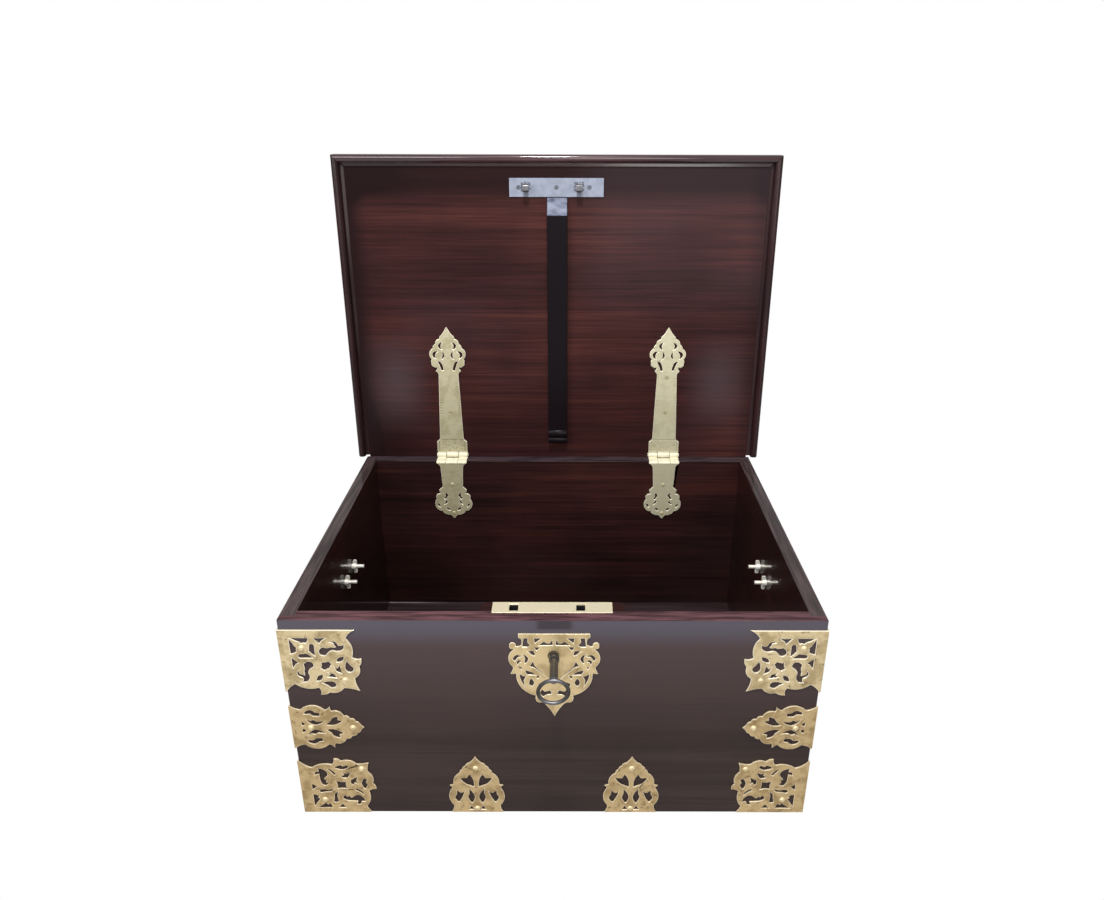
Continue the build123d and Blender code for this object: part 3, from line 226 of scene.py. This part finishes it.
def front_rosewood():
    """The front's darker, evener rosewood, lighter towards the top, with a painted bluish reflection along
    its upper edge and a painted dark reflection above the lock.
    """
    wood = Paint("front rosewood", Specular_IOR_Level=0.22)
    fine = long_grain(wood, "X", 260, detail=4)
    broad = long_grain(wood, "X", 18, shift=(4, 1, 6), detail=2)
    clouds = wood.noise(wood.place(shift=(1, 1, 1)), 5, detail=2, roughness=0.5)
    figure = fine * 0.35 + broad * 0.35 + clouds * 0.30
    colour = wood.ramp(figure, (0.39, (0.0125, 0.0060, 0.0046)), (0.50, (0.0190, 0.0100, 0.0080)),
                       (0.61, (0.0300, 0.0170, 0.0145)))
    aside, _, height = wood.coordinates()
    upper = height.between(0.10, 0.27) * 0.68
    colour = wood.mix(upper, colour, (0.060, 0.038, 0.038, 1))
    # painted reflection: a bluish grey band along the front's upper edge
    colour = wood.mix(height.between(0.262, 0.304) * 0.85, colour, (0.070, 0.064, 0.081, 1))
    # painted dark reflection on the front, just above the lock
    patch = wood.within(aside, 0.002, 0.021, 0.004) * wood.within(height, 0.3035, 0.0065, 0.002)
    colour = wood.mix(patch * 0.8, colour, (0.030, 0.021, 0.024, 1))
    sawn = height.between(RIM_HEIGHT - 0.0008, RIM_HEIGHT - 0.0002)
    colour = wood.mix(sawn, colour, sawn_edge(wood, "X", (0.078, 0.036, 0.041)))
    return wood.feed(Base_Color=colour, Roughness=fine * 0.15 + 0.36)


def base_rosewood():
    """The bottom board, paler along its joint with the back board on the left."""
    wood = Paint("base rosewood", Specular_IOR_Level=0.22)
    fine = long_grain(wood, "X", 200)
    colour = wood.ramp(fine, (0.40, (0.016, 0.0085, 0.0095)), (0.60, (0.034, 0.020, 0.022)))
    x, y, _ = wood.coordinates()
    # paler streak along the joint with the back board, towards the left
    pale_joint_line = y.between(0.2160, 0.2185) * (0 - x).between(0.06, 0.24)
    colour = wood.mix(pale_joint_line * fine.between(0.35, 0.6), colour, (0.20, 0.16, 0.17, 1))
    return wood.feed(Base_Color=colour, Roughness=fine * 0.2 + 0.35)


def burnish_and_edge_highlights(metal):
    """1 on arrises and on the walls of openings that face up or down, 0 on the faces: burnish with painted
    highlights.
    """
    facing = metal.node("ShaderNodeTexCoord", {}, {}, "Normal")
    across = metal.part_of(facing, 0).size()
    out = metal.part_of(facing, 1).size()
    return 1 - across.most(out).between(0.925, 0.985)


def aged_brass(name, bright, dull, tarnish, roughness, wear, edge, metallic=0.62, marks=None, barrel=False,
               painted_light_right=0.0, darker_below=None):
    """Cast brass gone dull, with tarnish in patches and burnished arrises that carry painted highlights.

    painted_light_right is how much paler it is right of the chest's middle, painted light, and below the
    height darker_below it is darker and browner. barrel is for the hinges, whose knuckles are paler, rougher
    and less metallic.
    """
    brass = Paint(name, Metallic=metallic)
    where = brass.place()
    patches = brass.noise(where, 45, detail=5, roughness=0.62)
    grain = brass.noise(where, 420, detail=3)
    tone = brass.mix(patches.between(0.42, 0.62), (*bright, 1), (*dull, 1))
    spots = brass.noise(where, 150, detail=4, roughness=0.7).between(0.56, 0.70) * wear
    tone = brass.mix(spots, tone, (*tarnish, 1))
    height = patches + grain * 0.3
    if marks:
        # marks: engraving and wear, and on the lock the painted shade of its keyhole
        engraving_and_shade = marks(brass)
        tone = brass.mix(engraving_and_shade * 0.8, tone, (*tarnish, 1))
        height = height - engraving_and_shade * 1.5
    # pale edges: burnish together with painted highlights on arrises and opening walls
    tone = brass.mix(burnish_and_edge_highlights(brass) * 0.85, tone, (*edge, 1))
    # painted light: paler to the right of the chest's middle
    if painted_light_right:
        tone = brass.mix(brass.part_of(where, 0).between(-0.05, 0.05) * painted_light_right, tone, (0.85, 0.81, 0.60, 1))
    # darker and browner towards the bottom
    if darker_below:
        low = 1 - brass.part_of(where, 2).between(darker_below - 0.05, darker_below)
        tone = brass.mix(low, tone, (0.80, 0.73, 0.64, 1), "MULTIPLY")
    rough = patches * 0.22 + grain * 0.08 + roughness
    if barrel:
        knuckles = brass.within(brass.part_of(where, 2), PIN_HEIGHT + 0.0005, 0.0075, 0.001)
        tone = brass.mix(knuckles * 0.75, tone, (0.60, 0.56, 0.41, 1))
        split = (brass.part_of(where, 0).size() - HINGE_ASIDE).size()
        tone = brass.mix(brass.within(split, 0.0106, 0.0005) * knuckles * 0.8, tone, (*tarnish, 1))
        rough = rough + knuckles * 0.25
        brass.feed(Metallic=metallic - knuckles * 0.5)
    return brass.feed(Base_Color=tone, Roughness=rough, Normal=brass.bump(height, 0.22, 0.0006))


def hinge_marks(brass):
    """Lines and punched ticks on the upper leaves of the hinges, worn in places."""
    x, _, z = brass.coordinates()
    across = (x.size() - HINGE_ASIDE).size()
    up = z - PIN_HEIGHT
    plate = brass.within(up, 0.0185, 0.0125)
    lines = brass.within(up, 0.0300, 0.0006).most(brass.within(up, 0.0075, 0.0006))
    sides = brass.within(across, 0.0222, 0.0005) * plate
    worn = brass.noise(brass.place(shift=(2, 2, 2)), 300, detail=2).between(0.56, 0.64) * plate
    ticks = (up * 1300).math("SINE").between(0.2, 0.8) * brass.within(up, 0.105, 0.062)
    border = across + up * 0.052
    ticks = ticks * brass.within(border, 0.0198, 0.0016)
    patchy = brass.noise(brass.place(shift=(6, 2, 2)), 60, detail=2).between(0.40, 0.55)
    return (lines + sides + worn * 0.6 + ticks * patchy * 0.8).clamped()


def keyhole_shade(brass):
    """Painted shade: a dark disc round the key, where the keyhole is."""
    x, _, z = brass.coordinates()
    aside = x - KEY_ASIDE
    above = z - KEY_HEIGHT
    return 1 - (aside * aside + above * above).math("SQRT").between(0.0070, 0.0076)


def hasp_marks(metal):
    """A dark mottled frame round the foot of each staple, and a painted shadow below each staple."""
    x, _, z = metal.coordinates()
    aside = ((x - STAPLES_MIDDLE).size() - STAPLE_ASIDE).size()
    foot = metal.within(aside, 0, 0.0078) * metal.within(z, STAPLE_HEIGHT, 0.0072)
    # painted shadow of each staple on the plate below it
    staple_shadow = metal.within(aside, 0, 0.0032, 0.0008) * metal.within(z, STAPLE_HEIGHT - 0.0095, 0.0075)
    rough = metal.noise(metal.place(), 330, detail=2).between(0.40, 0.52)
    return (foot * rough * 0.75 + staple_shadow * 0.5).clamped()


def plain_metal(name, colour, roughness, mottle, metallic=1.0, marks=None):
    """Iron or white metal with a cloudy skin."""
    metal = Paint(name, Metallic=metallic)
    where = metal.place()
    cloud = metal.noise(where, 90, detail=4)
    tone = metal.mix(cloud.between(0.35, 0.7) * mottle, (*colour, 1), (*(0.45 * c for c in colour), 1))
    if marks:
        tone = metal.mix(marks(metal), tone, (0.045, 0.045, 0.05, 1))
    return metal.feed(Base_Color=tone, Roughness=cloud * 0.2 + roughness,
                      Normal=metal.bump(cloud, 0.15, 0.0004))


def black_lacquer():
    """Black polish, with a painted reflection on the ramp at the batten's head: a bright, half-metallic
    bluish-silver skin.
    """
    batten = Paint("black polish", Specular_IOR_Level=0.08)
    where = batten.place()
    ramp = batten.part_of(where, 2).between(BATTEN_RAMP_FROM - 0.0005, BATTEN_RAMP_FROM + 0.0005)
    crumple = batten.noise(batten.place(scale=(0.6, 1, 1)), 80, detail=2, roughness=0.5)
    # painted reflection of the light above, on the ramp
    skin = batten.ramp(crumple, (0.35, (0.04, 0.045, 0.07)), (0.65, (0.125, 0.135, 0.175)))
    colour = batten.mix(ramp, (0.0065, 0.0042, 0.0055, 1), skin)
    return batten.feed(Base_Color=colour, Metallic=ramp * 0.5, Roughness=0.30 + ramp * 0.1,
                       Normal=batten.bump(crumple * ramp, 0.25, 0.001))


PALE_EDGE = (0.88, 0.82, 0.66)
LID_TONES = dict(dark=(0.019, 0.0064, 0.0062), mid=(0.039, 0.0124, 0.0112), light=(0.071, 0.0218, 0.0172))
CASE_TONES = dict(dark=(0.008, 0.0026, 0.0028), mid=(0.019, 0.0060, 0.0055), light=(0.042, 0.0115, 0.0090))
MOULDING_TONES = dict(dark=(0.022, 0.0085, 0.0110), mid=(0.044, 0.0170, 0.0205), light=(0.080, 0.034, 0.038))
END_TONES = dict(dark=(0.010, 0.0040, 0.0046), mid=(0.020, 0.0080, 0.0088), light=(0.036, 0.0150, 0.0160))

LID_WOOD = polished_rosewood("lid rosewood", "X", **LID_TONES, lid=True, sheen=0.08, slope=1.2)
MOULDING_WOOD = polished_rosewood("moulding rosewood", "X", **MOULDING_TONES, coat=0.9, gloss=0.09)
END_MOULDING_WOOD = polished_rosewood("end moulding rosewood", "Z", **END_TONES, sheen=0.12, coat=0.15)
FRONT_WOOD = front_rosewood()
BOARD_WOOD = polished_rosewood("board rosewood", "X", **CASE_TONES)
BASE_WOOD = base_rosewood()
BACK_WOOD = polished_rosewood("back rosewood", "X", **CASE_TONES, rim=(0.040, 0.026, 0.030))
END_WOOD = polished_rosewood("end rosewood", "Y", **CASE_TONES, rim=(0.045, 0.029, 0.029), coat=0.6,
                             gloss=0.02)

MOUNT_BRASS = aged_brass("mount brass", bright=(0.61, 0.49, 0.28), dull=(0.40, 0.305, 0.155),
                         tarnish=(0.15, 0.095, 0.04), roughness=0.30, wear=0.8, edge=PALE_EDGE,
                         darker_below=0.22)
# The near-black tarnish colour given here paints the shade of the keyhole round the key.
LOCK_BRASS = aged_brass("lock mount brass", bright=(0.59, 0.455, 0.24), dull=(0.41, 0.30, 0.145),
                        tarnish=(0.004, 0.003, 0.003), roughness=0.30, wear=0.0, edge=(0.80, 0.73, 0.55),
                        marks=keyhole_shade)
NAIL_BRASS = aged_brass("nail brass", bright=(0.62, 0.52, 0.32), dull=(0.46, 0.36, 0.20),
                        tarnish=(0.24, 0.17, 0.09), roughness=0.42, wear=0.5, edge=(0.62, 0.52, 0.32),
                        metallic=0.35)
HINGE_BRASS = aged_brass("hinge brass", bright=(0.56, 0.50, 0.32), dull=(0.44, 0.39, 0.23),
                         tarnish=(0.24, 0.20, 0.11), roughness=0.34, wear=0.3, edge=PALE_EDGE, barrel=True,
                         painted_light_right=0.42)
SCREW_BRASS = aged_brass("screw brass", bright=(0.46, 0.41, 0.26), dull=(0.34, 0.29, 0.17),
                         tarnish=(0.16, 0.12, 0.06), roughness=0.48, wear=0.4, edge=(0.46, 0.41, 0.26),
                         metallic=0.4)
STRAP_BRASS = aged_brass("strap brass", bright=(0.58, 0.53, 0.35), dull=(0.46, 0.41, 0.25),
                         tarnish=(0.20, 0.17, 0.10), roughness=0.36, wear=0.25, edge=PALE_EDGE,
                         marks=hinge_marks, barrel=True, painted_light_right=0.3)
PLATE_BRASS = aged_brass("plate brass", bright=(0.84, 0.76, 0.54), dull=(0.72, 0.64, 0.44),
                         tarnish=(0.36, 0.28, 0.15), roughness=0.34, wear=0.35, edge=(0.84, 0.76, 0.54))

WHITE_METAL = plain_metal("white metal", (0.265, 0.29, 0.36), roughness=0.38, mottle=0.3, metallic=0.5,
                          marks=hasp_marks)
SCREW_METAL = plain_metal("screw metal", (0.13, 0.14, 0.17), roughness=0.30, mottle=0.3, metallic=0.8)
STAPLE_IRON = plain_metal("staple iron", (0.17, 0.17, 0.18), roughness=0.30, mottle=0.4, metallic=0.8)
STUD_METAL = plain_metal("stud metal", (0.95, 0.92, 0.82), roughness=0.22, mottle=0.3, metallic=0.4)
IRON = plain_metal("dark iron", (0.16, 0.155, 0.16), roughness=0.36, mottle=0.5)
BLACK = black_lacquer()

FINISHES = {
    "front_board": FRONT_WOOD, "back_board": BACK_WOOD, "left_side_board": END_WOOD,
    "right_side_board": END_WOOD, "bottom_board": BASE_WOOD, "lock_block": BOARD_WOOD,
    "lid_board": LID_WOOD, "lid_front_moulding": MOULDING_WOOD, "lid_left_moulding": END_MOULDING_WOOD,
    "lid_right_moulding": END_MOULDING_WOOD, "lid_batten": BLACK, "mount_nails": NAIL_BRASS,
    "chest_hinge_screws": SCREW_BRASS, "lid_hinge_screws": SCREW_BRASS, "left_hinge_pin": HINGE_BRASS,
    "right_hinge_pin": HINGE_BRASS, "selvedge_plate": PLATE_BRASS, "handle_studs": STUD_METAL,
    "wing_nuts": STUD_METAL, "left_handle_backplate": HINGE_BRASS, "right_handle_backplate": HINGE_BRASS,
    "left_handle": HINGE_BRASS, "right_handle": HINGE_BRASS, "hasp_plate": WHITE_METAL,
    "hasp_staples": STAPLE_IRON, "hasp_screws": SCREW_METAL, "lock_case": IRON, "lock_pin": IRON,
    "lock_spring": IRON, "lock_bolt": IRON, "key": IRON,
    **{name: MOUNT_BRASS for name in FRONT_MOUNTS}, "escutcheon": LOCK_BRASS,
    "left_hinge_chest_leaf": HINGE_BRASS, "right_hinge_chest_leaf": HINGE_BRASS,
    "left_hinge_lid_leaf": STRAP_BRASS, "right_hinge_lid_leaf": STRAP_BRASS,
}


def finish_nodes():
    """Each solid gets its finish in its own material slot."""
    for name, finish in FINISHES.items():
        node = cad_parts[name]
        if not node.material_slots:
            node.data.materials.append(finish)
        for one in node.material_slots:
            one.material = finish


def soften(names, width, segments=2, clamp=True):
    """Rounds the edges of some solids by a width in metres."""
    for name in names:
        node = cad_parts[name]
        weld = node.modifiers.new("joined", "WELD")
        weld.merge_threshold = 0.00002
        flat = node.modifiers.new("flat faces", "DECIMATE")
        flat.decimate_type = "DISSOLVE"
        flat.angle_limit = radians(1)
        edge = node.modifiers.new("soft edges", "BEVEL")
        edge.width = width
        edge.segments = segments
        edge.limit_method = "ANGLE"
        edge.angle_limit = radians(40)
        edge.use_clamp_overlap = clamp


def stage_floor():
    """Plain pale floor under the chest."""
    bpy.ops.mesh.primitive_plane_add(size=12, location=(0, 0, -0.0005))
    floor = bpy.context.object
    floor.name = "studio floor"
    paper = Paint("studio floor", Base_Color=(0.55, 0.55, 0.57, 1), Roughness=0.9)
    links, nodes = paper.tree.links, paper.tree.nodes
    path = nodes.new("ShaderNodeLightPath")
    white = nodes.new("ShaderNodeEmission")
    white.inputs["Color"].default_value = (1, 1, 1, 1)
    blend = nodes.new("ShaderNodeMixShader")
    links.new(path.outputs["Is Camera Ray"], blend.inputs[0])
    links.new(paper.shader.outputs[0], blend.inputs[1])
    links.new(white.outputs[0], blend.inputs[2])
    links.new(blend.outputs[0], nodes["Material Output"].inputs[0])
    floor.data.materials.append(paper.material)


def light_world():
    """Even white light all round, behind a white background."""
    world = bpy.data.worlds.new("studio")
    world.use_nodes = True
    bpy.context.scene.world = world
    tree = world.node_tree
    room = tree.nodes["Background"]
    room.inputs["Color"].default_value = (1, 1, 1, 1)
    room.inputs["Strength"].default_value = 0.38
    seen = tree.nodes.new("ShaderNodeBackground")
    seen.inputs["Color"].default_value = (1, 1, 1, 1)
    seen.inputs["Strength"].default_value = 1.0
    path = tree.nodes.new("ShaderNodeLightPath")
    blend = tree.nodes.new("ShaderNodeMixShader")
    tree.links.new(path.outputs["Is Camera Ray"], blend.inputs[0])
    tree.links.new(room.outputs[0], blend.inputs[1])
    tree.links.new(seen.outputs[0], blend.inputs[2])
    tree.links.new(blend.outputs[0], tree.nodes["World Output"].inputs[0])


def soft_lamp(name, at, towards, size, watts):
    """Round area lamp of a width in metres, aimed at a place."""
    data = bpy.data.lights.new(name, "AREA")
    data.shape = "DISK"
    data.size = size
    data.energy = watts
    lamp = bpy.data.objects.new(name, data)
    lamp.location = at
    lamp.rotation_euler = (Vector(towards) - Vector(at)).to_track_quat("-Z", "Y").to_euler()
    bpy.context.collection.objects.link(lamp)


def studio_camera():
    """Camera above and in front of the chest, tilted down at it."""
    data = bpy.data.cameras.new("camera")
    data.sensor_width = SENSOR
    data.lens = LENS
    data.shift_x, data.shift_y = SHIFT_X, SHIFT_Y
    camera = bpy.data.objects.new("camera", data)
    ahead = Vector((sin(radians(CAMERA_TURN)) * cos(radians(CAMERA_TILT)),
                    cos(radians(CAMERA_TURN)) * cos(radians(CAMERA_TILT)), -sin(radians(CAMERA_TILT))))
    level = Vector((cos(radians(CAMERA_TURN)), -sin(radians(CAMERA_TURN)), 0))
    above = level.cross(ahead)
    roll = radians(CAMERA_ROLL)
    right = level * cos(roll) + above * sin(roll)
    up = above * cos(roll) - level * sin(roll)
    turn = Matrix((right, up, -ahead)).transposed().to_4x4()
    camera.matrix_world = Matrix.Translation(CAMERA_AT) @ turn
    bpy.context.collection.objects.link(camera)
    bpy.context.scene.camera = camera


finish_nodes()
soften(FRONT_MOUNTS, 0.0007, clamp=False)
soften(HINGE_LEAVES, 0.0008, clamp=False)
soften(BOARDS, 0.0009)
soften(["hasp_staples"], 0.0022, 3)
stage_floor()
light_world()
soft_lamp("overhead", (-0.05, -0.9, 2.4), (0, 0, 0.3), 0.32, 50)
soft_lamp("window", (-1.4, -1.9, 1.9), (0, 0, 0.35), 1.4, 36)
soft_lamp("fill", (0.5, -2.6, 1.3), (0, 0, 0.35), 1.4, 24)
studio_camera()
bpy.context.scene.view_settings.view_transform = "Standard"
